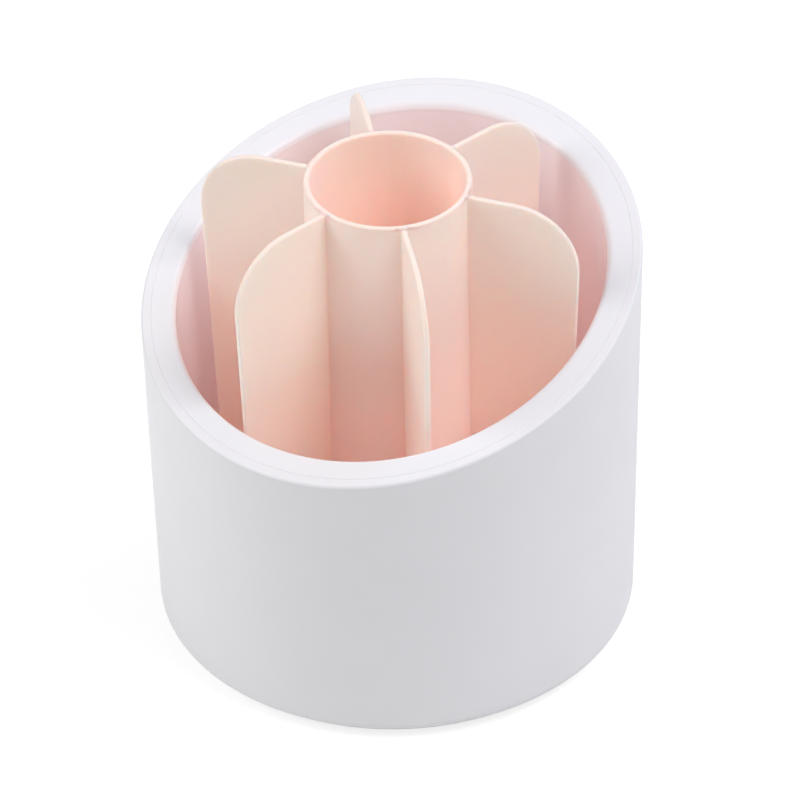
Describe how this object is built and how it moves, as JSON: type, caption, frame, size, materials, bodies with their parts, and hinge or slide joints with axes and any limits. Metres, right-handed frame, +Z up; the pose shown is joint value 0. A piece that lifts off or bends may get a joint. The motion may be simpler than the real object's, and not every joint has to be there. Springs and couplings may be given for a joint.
{
  "type": "rotating makeup brush holder",
  "caption": "Round white desk cup cut off at a slant, with a pink carousel inside: a central tube and radial fins that turn on a roller bearing and sort makeup brushes.",
  "frame": {"origin": "on the table, under the middle of the cup", "axes": "+Z up along the carousel's axis, +Y towards the high side of the slanted rim"},
  "size_m": [0.13, 0.13, 0.1345],
  "materials": {
    "white_shell": "satin moulded ABS",
    "white_liner": "polished moulded ABS",
    "white_base": "fine-textured moulded ABS",
    "pink_insert": "semi-gloss moulded polypropylene",
    "acetal": "moulded acetal",
    "plated_steel": "zinc-plated steel",
    "foot_rubber": "soft grey rubber"
  },
  "bodies": {
    "cup": {"outer_shell": "white_shell", "inner_liner": "white_liner", "base_cover": "white_base", "pivot_bolt": "plated_steel", "pivot_sleeve": "acetal", "pivot_washer": "plated_steel", "pivot_nut": "plated_steel", "foot_pad_1": "foot_rubber", "foot_pad_2": "foot_rubber", "foot_pad_3": "foot_rubber", "foot_pad_4": "foot_rubber"},
    "carousel": {"carousel_insert": "pink_insert", "pivot_cap": "pink_insert"},
    "cage": {"roller_cage": "acetal"},
    "roller_1_body": {"roller_1": "acetal"},
    "roller_2_body": {"roller_2": "acetal"},
    "roller_3_body": {"roller_3": "acetal"},
    "roller_4_body": {"roller_4": "acetal"},
    "roller_5_body": {"roller_5": "acetal"},
    "roller_6_body": {"roller_6": "acetal"}
  },
  "joints": [
    {"name": "carousel_spin", "type": "hinge", "parent": "cup", "child": "carousel", "pos_m": [0, 0, 0.0171], "axis": [0, 0, 1], "continuous": true},
    {"name": "cage_spin", "type": "hinge", "parent": "cup", "child": "cage", "pos_m": [0, 0, 0.01455], "axis": [0, 0, 1], "continuous": true},
    {"name": "roller_1_spin", "type": "hinge", "parent": "cage", "child": "roller_1_body", "pos_m": [0.034, 0, 0.01455], "axis": [1, 0, 0], "continuous": true},
    {"name": "roller_2_spin", "type": "hinge", "parent": "cage", "child": "roller_2_body", "pos_m": [0.017, 0.02944, 0.01455], "axis": [0.5, 0.866, 0], "continuous": true},
    {"name": "roller_3_spin", "type": "hinge", "parent": "cage", "child": "roller_3_body", "pos_m": [-0.017, 0.02944, 0.01455], "axis": [-0.5, 0.866, 0], "continuous": true},
    {"name": "roller_4_spin", "type": "hinge", "parent": "cage", "child": "roller_4_body", "pos_m": [-0.034, 0, 0.01455], "axis": [-1, 0, 0], "continuous": true},
    {"name": "roller_5_spin", "type": "hinge", "parent": "cage", "child": "roller_5_body", "pos_m": [-0.017, -0.02944, 0.01455], "axis": [-0.5, -0.866, 0], "continuous": true},
    {"name": "roller_6_spin", "type": "hinge", "parent": "cage", "child": "roller_6_body", "pos_m": [0.017, -0.02944, 0.01455], "axis": [0.5, -0.866, 0], "continuous": true}
  ],
  "couplings": [
    {"joint": "cage_spin", "follows": "carousel_spin", "ratio": 0.5},
    {"joint": "roller_1_spin", "follows": "carousel_spin", "ratio": -6.8},
    {"joint": "roller_2_spin", "follows": "carousel_spin", "ratio": -6.8},
    {"joint": "roller_3_spin", "follows": "carousel_spin", "ratio": -6.8},
    {"joint": "roller_4_spin", "follows": "carousel_spin", "ratio": -6.8},
    {"joint": "roller_5_spin", "follows": "carousel_spin", "ratio": -6.8},
    {"joint": "roller_6_spin", "follows": "carousel_spin", "ratio": -6.8}
  ]
}
